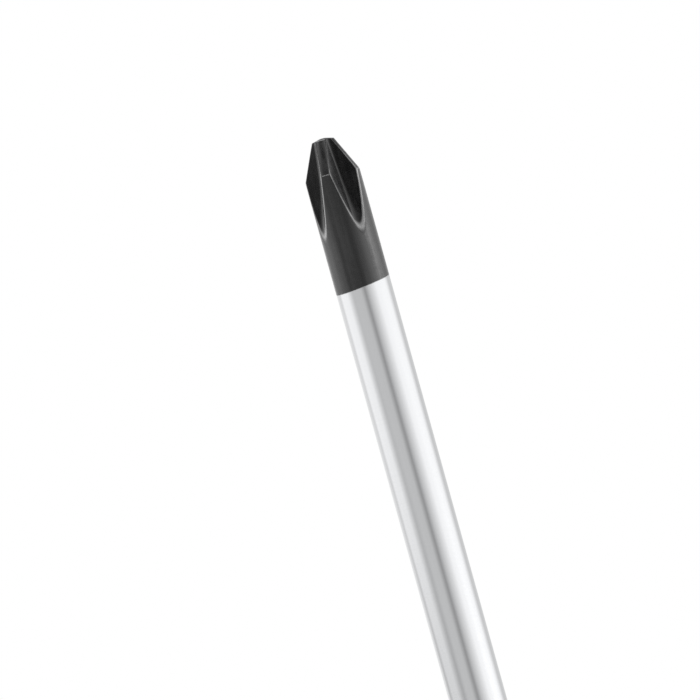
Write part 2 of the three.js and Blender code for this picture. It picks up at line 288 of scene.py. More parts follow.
@dataclass(frozen=True)
class BladeFinish:
    """Satin chrome, with a black end that was dipped a little askew and is worn bright at its edges."""

    line_height: float
    line_slope: Point = (0.072, 0.159)
    line_width: float = 0.05 * MM
    line_wander: float = 0.05 * MM
    chrome: Colour = (0.62, 0.625, 0.635, 1.0)
    chrome_roughness: Point = (0.1, 0.14)
    black: Colour = (0.002, 0.002, 0.0022, 1.0)
    black_roughness: Point = (0.2, 0.32)
    black_index: float = 1.7
    bare: Colour = (0.42, 0.42, 0.42, 1.0)
    bare_share: float = 0.75
    wear_mottle: float = 0.3
    wear_range: Point = (0.25, 0.95)
    mottle: Grain = Grain(0.6 * MM, 0.6 * MM, 0.6 * MM, 3.0)
    streaks: Grain = Grain(0.5 * MM, 0.5 * MM, 9.0 * MM, 2.0)
    streak_share: float = 0.7
    streak_range: Point = (0.3, 0.7)
    grind: Grain = Grain(3.0 * MM, 3.0 * MM, 0.05 * MM, 1.0)
    grind_depth: float = 0.0006 * MM

    def material(self) -> bpy.types.Material:
        """Builds the material.

        Returns:
            The material of the whole bar.
        """
        graph = MaterialGraph(Slot.BLADE.value)
        lean_x, lean_y = self.line_slope
        height = graph.dot(graph.place, Vector((-lean_x, -lean_y, 1.0)))
        mottle = graph.noise(self.mottle)
        streaks = graph.noise(self.streaks)
        grind = graph.noise(self.grind)
        above = height - self.line_height + (mottle - 0.5) * self.line_wander
        dipped = above.ramp(-self.line_width, self.line_width)
        edge = graph.wire("ShaderNodeAttribute", "Fac", {"attribute_name": EDGE_WEAR})
        worn = (edge + (mottle - 0.5) * self.wear_mottle).ramp(*self.wear_range) * self.bare_share
        black = dipped * (1.0 - worn)
        chrome_roughness = grind.between(*self.chrome_roughness)
        patches = mottle.towards(streaks, self.streak_share).ramp(*self.streak_range)
        black_roughness = patches.between(*self.black_roughness)
        metal = graph.mix_colours(dipped, self.chrome, self.bare)
        return graph.surface(
            {
                "Base Color": graph.mix_colours(black, metal, self.black),
                "Metallic": 1.0 - black,
                "Roughness": chrome_roughness.towards(black_roughness, dipped),
                "IOR": self.black_index,
                "Normal": graph.bump(grind, self.grind_depth),
            }
        )


@dataclass(frozen=True)
class MouldedPlastic:
    """A moulded plastic with a fine grain and slightly uneven colour."""

    slot: Slot
    colour: Colour
    deep_colour: Colour
    roughness: Point
    grain: float
    grain_depth: float
    specular: float = 0.5
    sheen: float = 0.0
    grain_detail: float = 2.0
    cloud: Grain = Grain(6.0 * MM, 6.0 * MM, 9.0 * MM, 3.0)
    cloud_share: float = 0.6
    speckle_range: Point = (0.3, 0.7)

    def material(self) -> bpy.types.Material:
        """Builds the material.

        Returns:
            The material.
        """
        graph = MaterialGraph(self.slot.value)
        cloud = graph.noise(self.cloud)
        grain = graph.noise(Grain(self.grain, self.grain, self.grain, self.grain_detail))
        speckle = grain.towards(cloud, self.cloud_share).ramp(*self.speckle_range)
        return graph.surface(
            {
                "Base Color": graph.mix_colours(speckle, self.deep_colour, self.colour),
                "Roughness": speckle.between(*self.roughness),
                "Specular IOR Level": self.specular,
                "Sheen Weight": self.sheen,
                "Normal": graph.bump(grain, self.grain_depth),
            }
        )


HARD_PLASTIC = MouldedPlastic(
    slot=Slot.HARD,
    colour=(0.082, 0.086, 0.092, 1.0),
    deep_colour=(0.068, 0.072, 0.078, 1.0),
    roughness=(0.4, 0.48),
    grain=0.28 * MM,
    grain_depth=0.025 * MM,
)
SOFT_PLASTIC = MouldedPlastic(
    slot=Slot.SOFT,
    colour=(0.016, 0.016, 0.018, 1.0),
    deep_colour=(0.011, 0.011, 0.012, 1.0),
    roughness=(0.62, 0.72),
    grain=0.2 * MM,
    grain_depth=0.03 * MM,
    specular=0.4,
    sheen=0.08,
)
CORE_PLASTIC = MouldedPlastic(
    slot=Slot.CORE,
    colour=(0.27, 0.28, 0.3, 1.0),
    deep_colour=(0.24, 0.25, 0.27, 1.0),
    roughness=(0.5, 0.6),
    grain=0.4 * MM,
    grain_depth=0.01 * MM,
)


# Numbers


def mixed(low: float, high: float, share: float) -> float:
    """The number that lies a share of the way from low to high."""
    return low + (high - low) * share


def spaced(start: float, end: float, steps: int) -> list[float]:
    """Evenly spaced numbers from start to end, both included."""
    return [start + (end - start) * i / steps for i in range(steps + 1)]


def gathered(length: float, steps: int) -> list[float]:
    """Numbers from 0 to a length, both included, that lie closer together near 0."""
    return [length * (1.0 - math.cos(turn)) for turn in spaced(0.0, math.pi / 2, steps)]


def smoothstep(value: float, start: float, end: float) -> float:
    """A smooth step from 0 at start to 1 at end."""
    share = min(max((value - start) / (end - start), 0.0), 1.0)
    return share * share * (3.0 - 2.0 * share)


def nearness(distance: float, reach: float) -> float:
    """How near something is: 1 at no distance, and 0 from the reach on."""
    return max(1.0 - distance / reach, 0.0)


def arch(share: float) -> float:
    """Height of a round arch: 1 at its middle, and 0 at its foot, where the share is 1."""
    return math.sqrt(1.0 - share * share)


def rounded_max(first: float, second: float, width: float) -> float:
    """The larger of two numbers, rounded off where they lie within a width of each other."""
    blend = max(width - abs(first - second), 0.0)
    return max(first, second) + blend * blend / (4.0 * width)


# Meshes


def rounded(corners: Sequence[Triple]) -> list[Point]:
    """Draws an outline whose corners are rounded, each by its own radius.

    Args:
        corners: The corners as (x, y, radius); a radius of 0 leaves a corner sharp.

    Returns:
        The outline's points.
    """
    points: list[Point] = []
    for i, (x, y, radius) in enumerate(corners):
        corner = Vector((x, y))
        if not radius:
            points.append((x, y))
            continue
        before = (Vector(corners[i - 1][:2]) - corner).normalized()
        after = (Vector(corners[(i + 1) % len(corners)][:2]) - corner).normalized()
        half = before.angle(after) / 2
        centre = corner + (before + after).normalized() * radius / math.sin(half)
        start = corner + before * radius / math.tan(half) - centre
        end = corner + after * radius / math.tan(half) - centre
        for share in spaced(0.0, 1.0, CORNER_STEPS):
            points.append(tuple(centre + start.slerp(end, share) * radius))
    return points


def turned(profile: Sequence[Point], steps: int, ring: bool = False) -> bmesh.types.BMesh:
    """Turns a profile about Z: spins one sector, then doubles it until the turn is full.

    Args:
        profile: Points of (radius, height), from the axis to the axis or round a ring.
        steps: How many steps a full turn has.
        ring: Whether the profile closes on itself.

    Returns:
        The closed mesh.
    """
    mesh = bmesh.new()
    verts = [mesh.verts.new((radius, 0.0, height)) for radius, height in profile]
    pairs = list(zip(verts, verts[1:] + verts[:1]))
    edges = [mesh.edges.new(pair) for pair in (pairs if ring else pairs[:-1])]
    sectors = 2**TURN_DOUBLINGS
    angle = 2.0 * math.pi / sectors
    centre = (0.0, 0.0, 0.0)
    chords = steps // sectors
    bmesh.ops.spin(mesh, geom=verts + edges, cent=centre, axis=UP, angle=angle, steps=chords)
    for _ in range(TURN_DOUBLINGS):
        whole = mesh.verts[:] + mesh.edges[:] + mesh.faces[:]
        copied = bmesh.ops.duplicate(mesh, geom=whole)["geom"]
        moved = [part for part in copied if isinstance(part, bmesh.types.BMVert)]
        bmesh.ops.rotate(mesh, verts=moved, cent=centre, matrix=Matrix.Rotation(angle, 3, "Z"))
        angle *= 2.0
    bmesh.ops.remove_doubles(mesh, verts=mesh.verts, dist=SEAM)
    bmesh.ops.recalc_face_normals(mesh, faces=mesh.faces)
    return mesh


def reshape(mesh: bmesh.types.BMesh, move: Callable[[float, float, float], Point]) -> None:
    """Moves every vertex about the axis, at its own height.

    Args:
        mesh: The mesh.
        move: Takes a vertex's radius, angle and height, and gives its new radius and angle.
    """
    for vert in mesh.verts:
        radius = math.hypot(vert.co.x, vert.co.y)
        angle = math.atan2(vert.co.y, vert.co.x)
        radius, angle = move(radius, angle, vert.co.z)
        vert.co.x = radius * math.cos(angle)
        vert.co.y = radius * math.sin(angle)
    bmesh.ops.recalc_face_normals(mesh, faces=mesh.faces)


def shade(data: bpy.types.Mesh, sharp_angle: float = SHARP_ANGLE) -> None:
    """Shades a mesh smooth, but for edges of this angle in degrees and more."""
    data.shade_smooth()
    data.set_sharp_from_angle(angle=math.radians(sharp_angle))


def finished(mesh: bmesh.types.BMesh, name: str, sharp_angle: float = SHARP_ANGLE) -> bpy.types.Object:
    """Makes an object of a mesh, smooth but for its sharp edges.

    Args:
        mesh: The mesh, which is freed.
        name: The object's name.
        sharp_angle: The least angle of an edge that stays sharp, in degrees.

    Returns:
        The object, at the origin.
    """
    data = bpy.data.meshes.new(name)
    mesh.to_mesh(data)
    mesh.free()
    shade(data, sharp_angle)
    piece = bpy.data.objects.new(name, data)
    bpy.context.scene.collection.objects.link(piece)
    return piece


def weld(data: bpy.types.Mesh) -> None:
    """Clears away the slivers that a cut leaves.

    Args:
        data: The mesh that was cut.
    """
    mesh = bmesh.new()
    mesh.from_mesh(data)
    bmesh.ops.remove_doubles(mesh, verts=mesh.verts, dist=WELD)
    bmesh.ops.dissolve_degenerate(mesh, dist=WELD, edges=mesh.edges)
    many_sided = [face for face in mesh.faces if len(face.verts) > 4]
    bmesh.ops.triangulate(mesh, faces=many_sided, ngon_method="BEAUTY")
    bmesh.ops.dissolve_degenerate(mesh, dist=WELD, edges=mesh.edges)
    bmesh.ops.recalc_face_normals(mesh, faces=mesh.faces)
    mesh.to_mesh(data)
    mesh.free()


def carve(piece: bpy.types.Object, cutter: bpy.types.Object) -> None:
    """Cuts one object out of another, and removes it.

    Args:
        piece: The object that is cut.
        cutter: The object that cuts it.
    """
    modifier = piece.modifiers.new("carve", "BOOLEAN")
    modifier.operation = "DIFFERENCE"
    modifier.solver = "EXACT"
    modifier.object = cutter
    depsgraph = bpy.context.evaluated_depsgraph_get()
    carved = bpy.data.meshes.new_from_object(piece.evaluated_get(depsgraph))
    piece.modifiers.clear()
    whole = piece.data
    piece.data = carved
    carved.name = piece.name
    weld(carved)
    shade(carved)
    bpy.data.meshes.remove(whole)
    bpy.data.objects.remove(cutter)


def dress(piece: bpy.types.Object, material: bpy.types.Material) -> None:
    """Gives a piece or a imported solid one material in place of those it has."""
    piece.data.materials.clear()
    piece.data.materials.append(material)


def place(piece: bpy.types.Object, node: str, material: bpy.types.Material) -> None:
    """Puts a finished piece in its solid's stead.

    Args:
        piece: The piece.
        node: The solid that it stands for.
        material: Its material.
    """
    dress(piece, material)
    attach(piece, BODY)
    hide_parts(node)
    LOG.info("%s: %d faces, for %s", piece.name, len(piece.data.polygons), node)


# Blade


@dataclass
class Blade:
    """The bar with its cross point: four wings between the flutes that a V-rimmed wheel has cut."""

    top: float
    foot: float
    radius: float = 3.0 * MM
    foot_chamfer: float = 0.8 * MM
    flat_radius: float = 0.35 * MM
    end_radius: float = 1.21 * MM
    end_drop: float = 0.23 * MM
    shoulder_drop: float = 4.09 * MM
    flute_count: int = 4
    flute_half_angle: float = 60.0
    flute_root: float = 0.9 * MM
    flute_core: float = 1.16 * MM
    flute_slope: float = 5.75
    flute_drop: float = 0.36 * MM
    tip_root: float = 0.5 * MM
    runout_root: float = 1.3 * MM
    root_reach: float = 6.0 * MM
    wheel_radius: float = 66.0 * MM
    flute_length: float = 11.5 * MM
    edge_round: float = 0.1 * MM
    shoulder_round: float = 0.3 * MM
    end_round: float = 0.03 * MM
    burr_round: float = 0.18 * MM
    burr_turn: float = 0.3
    runout_round: float = 0.24 * MM
    runout_range: Point = (2.0 * MM, 7.0 * MM)
    corner_wear: float = 0.6
    corner_reach: float = 0.6 * MM
    worn_round: float = 0.1 * MM
    ring_wear: float = 0.1 * MM
    tip_wear: float = 0.5
    tip_margin: float = 0.5 * MM
    plain_wear: float = 0.7
    steps: int = 384
    rings: int = 190
    halvings: int = 18
    black_length: float = 16.155 * MM
    end: float = field(init=False)
    shoulder: float = field(init=False)

    def __post_init__(self) -> None:
        """Works out where the blunt end and the taper stop."""
        self.end = self.top - self.end_drop
        self.shoulder = self.top - self.shoulder_drop

    def profile(self) -> list[Point]:
        """Draws half of the bar's outline.

        Returns:
            Points from the foot of the tang to the point, with close rings where the flutes are.
        """
        corners = [
            (0.0, self.foot, 0.0),
            (self.radius - self.foot_chamfer, self.foot, 0.0),
            (self.radius, self.foot + self.foot_chamfer, 0.0),
            (self.radius, self.shoulder, self.shoulder_round),
            (self.end_radius, self.end, self.end_round),
            (self.flat_radius, self.top, self.flat_radius / 2),
            (0.0, self.top, 0.0),
        ]
        outline = rounded(corners)
        lowest = self.top - self.flute_length
        step = self.flute_length / self.rings
        points = [outline[0]]
        for start, stop in zip(outline, outline[1:]):
            rise = stop[1] - start[1]
            if stop[1] > lowest and rise > step:
                first = max(start[1], lowest)
                for height in spaced(first, stop[1], max(1, round((stop[1] - first) / step)))[:-1]:
                    points.append((mixed(start[0], stop[0], (height - start[1]) / rise), height))
            points.append(stop)
        return points

    def clearance(self, radius: float, angle: float, height: float) -> float:
        """How far a point lies outside the wheel that cuts the nearest flute.

        Args:
            radius: The point's distance from the axis.
            angle: Its angle from the middle of the flute.
            height: Its height.

        Returns:
            The distance, negative where the wheel has cut.
        """
        slope = math.radians(self.flute_slope)
        flank = math.radians(self.flute_half_angle)
        hub = self.flute_core + self.wheel_radius * math.cos(slope)
        hub_height = self.top - self.flute_drop + self.wheel_radius * math.sin(slope)
        down = smoothstep(self.shoulder - height, 0.0, self.root_reach)
        root = mixed(self.tip_root, self.runout_root, down)
        rim = self.wheel_radius + self.flute_root * (1.0 / math.sin(flank) - 1.0)
        across = abs(radius * math.sin(angle))
        reach = math.hypot(hub - radius * math.cos(angle), hub_height - height)
        out = reach - (rim - root / math.sin(flank))
        if out * math.cos(flank) > across * math.sin(flank):
            return math.hypot(out, across) - root
        return out * math.sin(flank) + across * math.cos(flank) - root

    def cut(self, radius: float, angle: float, height: float) -> Point:
        """Moves a point of the plain bar down to the flutes, over rounded edges.

        Args:
            radius: The point's distance from the axis on the plain bar.
            angle: Its angle.
            height: Its height.

        Returns:
            Its new radius, and how worn it is, from 0 in the open to 1 and over on an edge.
        """
        if height < self.top - self.flute_length:
            return radius, 0.0
        pitch = 2.0 * math.pi / self.flute_count
        offset = angle % pitch - pitch / 2
        near_tip = smoothstep(height, self.shoulder - self.tip_margin, self.end)
        burr = smoothstep(offset, -self.burr_turn, self.burr_turn)
        runout = smoothstep(self.shoulder - height, *self.runout_range)
        edge_round = mixed(self.edge_round, self.burr_round, burr)
        edge_round = mixed(edge_round, self.worn_round, near_tip)
        edge_round = mixed(edge_round, self.runout_round, runout)

        def sides(trial: float) -> Point:
            """How far a trial radius lies over the plain bar, and how far inside the wheel."""
            return trial - radius, -self.clearance(trial, offset, height)

        def outside(trial: float) -> bool:
            """Whether a trial radius lies outside the metal and its rounded edges."""
            return rounded_max(*sides(trial), edge_round) > 0.0

        from_shoulder = abs(height - self.shoulder)
        if not outside(radius):
            return radius, nearness(min(from_shoulder, abs(height - self.end)), self.ring_wear)
        low, high = 0.0, radius
        for _ in range(self.halvings):
            middle = (low + high) / 2
            if outside(middle):
                high = middle
            else:
                low = middle
        over, inside = sides(low)
        wear = mixed(1.0, self.tip_wear, near_tip) * mixed(self.plain_wear, 1.0, burr)
        wear *= 1.0 + self.corner_wear * nearness(from_shoulder, self.corner_reach)
        return low, wear * nearness(abs(over - inside), edge_round)

    def flute(self, mesh: bmesh.types.BMesh) -> None:
        """Cuts the flutes into the turned bar, and notes how worn its edges are.

        Args:
            mesh: The bar's mesh.
        """
        wear = mesh.verts.layers.float.new(EDGE_WEAR)
        for vert in mesh.verts:
            radius = math.hypot(vert.co.x, vert.co.y)
            kept, vert[wear] = self.cut(radius, math.atan2(vert.co.y, vert.co.x), vert.co.z)
            if radius:
                vert.co.xy *= kept / radius
        bmesh.ops.recalc_face_normals(mesh, faces=mesh.faces)

    def build(self) -> bpy.types.Object:
        """Builds and places the blade.

        Returns:
            Its piece.
        """
        mesh = turned(self.profile(), self.steps)
        self.flute(mesh)
        piece = finished(mesh, "blade_bar")
        finish = BladeFinish(line_height=self.top - self.black_length)
        place(piece, "blade", finish.material())
        return piece


# Handle


@dataclass(frozen=True)
class Station:
    """A height where the handle is thickest or thinnest."""

    height: float
    radius: float
    lobe: float


@dataclass
class Barrel:
    """The handle's outside, shared by the shell, the pads and the end cap."""

    length: float
    lobes: int = 6
    lobe_depth: float = 0.55 * MM
    butt_lobe_share: float = 0.5
    butt_radius: float = 10.5 * MM
    dome_height: float = 10.0 * MM
    shoulder_radius: float = 15.6 * MM
    belly_radius: float = 17.0 * MM
    belly_height: float = 40.0 * MM
    waist_radius: float = 11.6 * MM
    waist_setback: float = 28.0 * MM
    guard_radius: float = 13.6 * MM
    guard_setback: float = 13.5 * MM
    nose_radius: float = 7.2 * MM
    stations: list[Station] = field(init=False)

    def __post_init__(self) -> None:
        """Lists the stations from the butt to the nose."""
        self.stations = [
            Station(self.dome_height, self.shoulder_radius, self.butt_lobe_share * self.lobe_depth),
            Station(self.belly_height, self.belly_radius, self.lobe_depth),
            Station(self.length - self.waist_setback, self.waist_radius, self.lobe_depth),
            Station(self.length - self.guard_setback, self.guard_radius, 0.0),
            Station(self.length, self.nose_radius, 0.0),
        ]

    def eased(self, height: float) -> Station:
        """The barrel at any height over the dome, level at each station.

        Args:
            height: The height.

        Returns:
            A station at that height.
        """
        pairs = list(zip(self.stations, self.stations[1:]))
        low, high = next((pair for pair in pairs if height <= pair[1].height), pairs[-1])
        share = smoothstep(height, low.height, high.height)
        return Station(height, mixed(low.radius, high.radius, share), mixed(low.lobe, high.lobe, share))

    def mean(self, height: float) -> float:
        """Mean radius at a height, between the tops of the lobes and their valleys.

        Args:
            height: The height.

        Returns:
            The radius.
        """
        if height >= self.dome_height:
            return self.eased(height).radius
        drop = 1.0 - max(height, 0.0) / self.dome_height
        return mixed(self.butt_radius, self.shoulder_radius, arch(drop))

    def lobe(self, height: float, angle: float) -> float:
        """How far the lobes stand out of the mean radius.

        Args:
            height: The height.
            angle: The angle, 0 in the middle of a lobe.

        Returns:
            The distance, negative in a valley.
        """
        if height >= self.dome_height:
            depth = self.eased(height).lobe
        else:
            depth = self.stations[0].lobe * max(height, 0.0) / self.dome_height
        return depth * math.cos(self.lobes * angle)

    def radius(self, height: float, angle: float) -> float:
        """Outside radius at a height and angle."""
        return self.mean(height) + self.lobe(height, angle)

    def corners(self, heights: Sequence[float], first: float, last: float) -> list[Triple]:
        """Corners of the mean outline, for rounded() to draw.

        Args:
            heights: Their heights.
            first: The radius that rounds the first of them.
            last: The radius that rounds the last of them.

        Returns:
            The corners.
        """
        corners = [(self.mean(height), height, 0.0) for height in heights]
        corners[0] = (*corners[0][:2], first)
        corners[-1] = (*corners[-1][:2], last)
        return corners


@dataclass
class PadOutline:
    """Outline that a pad and its pocket share, grown all round by a gap for the pocket."""

    start: float
    end: float
    half_angle: float = math.radians(21.0)
    end_length: float = 7.0 * MM
    least_share: float = 0.04
    grow: float = 0.0

    def inside(self, height: float) -> float:
        """How far a height lies inside the ends of the outline that hasn't grown."""
        return min(height - self.start, self.end - height)

    def half(self, height: float, radius: float) -> float:
        """Half of the outline's width at a height.

        Args:
            height: The height.
            radius: The radius there, for the gap.

        Returns:
            The half width as an angle, 0 beyond the outline's ends.
        """
        inside = self.inside(height) + self.grow
        if inside < 0.0:
            return 0.0
        drop = 1.0 - min(inside / self.end_length, 1.0)
        return self.half_angle * max(arch(drop), self.least_share) + self.grow / radius

    def heights(self, middle_steps: int, round_steps: int) -> list[float]:
        """Heights along the outline, closer together towards its round ends.

        Args:
            middle_steps: Steps along the straight middle.
            round_steps: Steps along each round end.

        Returns:
            The heights from start to end.
        """
        start, end = self.start - self.grow, self.end + self.grow
        rise = gathered(self.end_length, round_steps)
        middle = spaced(start + self.end_length, end - self.end_length, middle_steps)[1:-1]
        return [start + r for r in rise] + middle + [end - r for r in reversed(rise)]


@dataclass
class Shell:
    """The hard barrel: pockets for the pads, a groove for the collar, and a socket for the end cap."""

    barrel: Barrel
    pocket: PadOutline
    start: float
    groove_start: float
    groove_end: float
    groove_radius: float
    pocket_depth: float = 2.5 * MM
    lip: float = 0.35 * MM
    socket_radius: float = 9.3 * MM
    socket_end: float = 36.3 * MM
    cavity_radius: float = 7.5 * MM
    cavity_end: float = 99.3 * MM
    bore_radius: float = 3.3 * MM
    edge: float = 0.4 * MM
    nose_edge: float = 1.2 * MM
    skin: float = 1.5 * MM
    sector_steps: int = 60
    pocket_rows: int = 56
    round_rows: int = 12
    back_rows: int = 8
    neck_rows: int = 6
    nose_rows: int = 10
    floor_share: float = 0.5
    lip_share: float = 0.7
    wall_share: float = 1 / 3
    loose_lip: float = 0.1
    relax: float = 5.0 * MM

    def profile(self) -> list[Point]:
        """Draws the ring that is turned into the shell.

        Returns:
            Points up the outside, over the nose, and down the inside.
        """
        low, high, length = self.groove_start, self.groove_end, self.barrel.length
        pads = self.pocket.heights(self.pocket_rows, self.round_rows)
        back = spaced(self.start, pads[0] - self.lip, self.back_rows)
        neck = spaced(pads[-1] + self.lip, low, self.neck_rows)
        nose = spaced(high, length, self.nose_rows)
        corners = [
            *self.barrel.corners(back + pads + neck, self.edge, self.edge),
            (self.groove_radius, low, 0.0),
            (self.groove_radius, high, 0.0),
            *self.barrel.corners(nose, self.edge, self.nose_edge),
            (self.bore_radius, length, self.edge),
            (self.bore_radius, self.cavity_end, 0.0),
            (self.cavity_radius, self.cavity_end, 0.0),
            (self.cavity_radius, self.socket_end, 0.0),
            (self.socket_radius, self.socket_end, 0.0),
            (self.socket_radius, self.start, self.edge),
        ]
        return rounded(corners)

    def rim(self, height: float, mean: float) -> tuple[float, float, bool]:
        """Where the mesh's columns gather at a height, loosely where there is no pocket.

        Args:
            height: The height.
            mean: The barrel's mean radius there.

        Returns:
            Angles from the pocket's middle to the floor's edge and to the lip, and whether it is a pocket.
        """
        half = self.pocket.half(height, mean)
        if half:
            return half, half + self.lip / mean, True
        half_pitch = math.pi / self.barrel.lobes
        loose = smoothstep(-self.pocket.inside(height) - self.pocket.grow, 0.0, self.relax)
        least = self.pocket.half_angle * self.pocket.least_share
        floor_angle = mixed(least, self.floor_share * half_pitch, loose)
        return floor_angle, floor_angle + self.lip / mean + self.loose_lip * half_pitch * loose, False

    def sink(self, radius: float, angle: float, height: float) -> Point:
        """Moves a point of the turned barrel to the lobes and into the pockets.

        The columns of the mesh gather at a pocket's rim, so that its edge is one clean line.

        Args:
            radius: The point's distance from the axis.
            angle: Its angle.
            height: Its height.

        Returns:
            Its new radius and angle.
        """
        mean = self.barrel.mean(height)
        if radius < mean - self.skin or height > self.groove_end - self.edge:
            return radius, angle
        pitch = 2.0 * math.pi / self.barrel.lobes
        sector = round(angle / pitch) * pitch
        offset = angle - sector
        share = abs(offset) / (pitch / 2)
        floor_angle, lip_angle, pocketed = self.rim(height, mean)
        drop = 0.0
        if share <= self.floor_share:
            turned_by = floor_angle * share / self.floor_share
            drop = self.pocket_depth
        elif share < self.lip_share:
            way = (share - self.floor_share) / (self.lip_share - self.floor_share)
            turn = math.pi / 2 * max(0.0, (way - self.wall_share) / (1.0 - self.wall_share))
            turned_by = mixed(floor_angle, lip_angle, 1.0 - math.cos(turn) if pocketed else way)
            drop = self.lip * (1.0 - math.sin(turn))
            if way < self.wall_share:
                drop = mixed(self.pocket_depth, self.lip, way / self.wall_share)
        else:
            turned_by = mixed(lip_angle, pitch / 2, (share - self.lip_share) / (1.0 - self.lip_share))
        new_angle = sector + math.copysign(turned_by, offset)
        lobed = radius + self.barrel.lobe(height, new_angle)
        return lobed - drop if pocketed else lobed, new_angle

    def build(self, material: bpy.types.Material) -> None:
        """Builds and places the shell.

        Args:
            material: Its material.
        """
        mesh = turned(self.profile(), self.sector_steps * self.barrel.lobes, ring=True)
        reshape(mesh, self.sink)
        place(finished(mesh, "handle_barrel"), "handle_shell", material)


@dataclass
class GripPad:
    """A soft inlay with a rounded rim and a ribbed middle."""

    barrel: Barrel
    outline: PadOutline
    depth: float = 2.2 * MM
    proud: float = 0.3 * MM
    rim: float = 0.6 * MM
    rib_pitch: float = 2.5 * MM
    rib_depth: float = 0.3 * MM
    rib_width: float = 0.5
    rib_margin: float = 1.4 * MM
    rib_fade: float = 0.7 * MM
    rib_end: float = 9.0 * MM
    columns: int = 36
    middle_rows: int = 120
    end_rows: int = 14
    sharp_angle: float = 50.0

    def edge_distance(self, offset: float, height: float) -> float:
        """How far a point of the pad lies inside its outline.

        Args:
            offset: Its angle from the pad's middle.
            height: Its height.

        Returns:
            The distance along the surface.
        """
        mean = self.barrel.mean(height)
        sideways = (self.outline.half(height, mean) - abs(offset)) * mean
        across = min(abs(offset) / self.outline.half_angle, 1.0)
        endways = self.outline.inside(height) - self.outline.end_length * (1.0 - arch(across))
        return max(min(sideways, endways), 0.0)

    def relief(self, offset: float, height: float) -> float:
        """How far the pad's top stands out of the barrel, with its rim and ribs.

        Args:
            offset: The angle from the pad's middle.
            height: The height.

        Returns:
            The distance, negative below the barrel's surface.
        """
        edge = self.edge_distance(offset, height)
        rim_drop = self.rim * (1.0 - arch(nearness(edge, self.rim)))
        wave = 0.5 + 0.5 * math.cos(2.0 * math.pi * height / self.rib_pitch)
        inside = smoothstep(edge, self.rib_margin, self.rib_margin + self.rib_fade)
        inside *= smoothstep(self.outline.inside(height), self.rib_end, self.rib_end + self.rib_fade)
        groove = self.rib_depth * smoothstep(wave, self.rib_width, 1.0) * inside
        return self.proud - rim_drop - groove

    def build(self, number: int, material: bpy.types.Material) -> None:
        """Builds and places one pad.

        Args:
            number: Which pad it is, from 1.
            material: Its material.
        """
        turn = (number - 1) * 2.0 * math.pi / self.barrel.lobes
        heights = self.outline.heights(self.middle_rows, self.end_rows)
        rows = len(heights) - 1
        mesh = bmesh.new()
        bmesh.ops.create_grid(mesh, x_segments=self.columns, y_segments=rows, size=1.0)
        floors: dict[tuple[float, ...], Vector] = {}
        for vert in mesh.verts:
            height = heights[round((vert.co.y + 1.0) / 2.0 * rows)]
            mean = self.barrel.mean(height)
            offset = self.outline.half(height, mean) * math.sin(vert.co.x * math.pi / 2)
            radius = self.barrel.radius(height, offset) + self.relief(offset, height)
            direction = Vector((math.cos(turn + offset), math.sin(turn + offset), 0.0))
            vert.co = direction * radius + UP * height
            floors[tuple(vert.co)] = direction * (mean - self.depth) + UP * height
        solid = bmesh.ops.extrude_face_region(mesh, geom=mesh.faces[:], use_keep_orig=True)
        for vert in solid["geom"]:
            if isinstance(vert, bmesh.types.BMVert):
                vert.co = floors[tuple(vert.co)]
        bmesh.ops.recalc_face_normals(mesh, faces=mesh.faces)
        piece = finished(mesh, f"grip_inlay_{number}", self.sharp_angle)
        place(piece, f"grip_pad_{number}", material)


@dataclass
class Collar:
    """The soft six-sided ring at the guard."""

    start: float
    end: float
    flat: float
    bore: float
    sides: int = 6
    corner: float = 4.0 * MM
    edge: float = 1.1 * MM
    inner_edge: float = 0.3 * MM
    steps: int = 240

    def outer(self, angle: float) -> float:
        """Radius of the rounded six-sided outline.

        Args:
            angle: The angle, 0 at a corner.

        Returns:
            The radius there.
        """
        pitch = 2.0 * math.pi / self.sides
        aside = abs((angle % pitch) - pitch / 2)
        if self.flat * math.tan(aside) <= (self.flat - self.corner) * math.tan(pitch / 2):
            return self.flat / math.cos(aside)
        centre = (self.flat - self.corner) / math.cos(pitch / 2)
        turn = pitch / 2 - aside
        return centre * math.cos(turn) + math.sqrt(self.corner**2 - (centre * math.sin(turn)) ** 2)

    def spread(self, radius: float, angle: float, height: float) -> Point:
        """Moves a point of a plain ring out to the six-sided outline, the same at every height."""
        share = (radius - self.bore) / (self.flat - self.bore)
        return mixed(self.bore, self.outer(angle), share), angle

    def build(self, material: bpy.types.Material) -> None:
        """Builds and places the collar.

        Args:
            material: Its material.
        """
        corners = [
            (self.bore, self.start, self.inner_edge),
            (self.flat, self.start, self.edge),
            (self.flat, (self.start + self.end) / 2, 0.0),
            (self.flat, self.end, self.edge),
            (self.bore, self.end, self.inner_edge),
        ]
        mesh = turned(rounded(corners), self.steps, ring=True)
        reshape(mesh, self.spread)
        place(finished(mesh, "anti_roll_ring"), "front_collar", material)


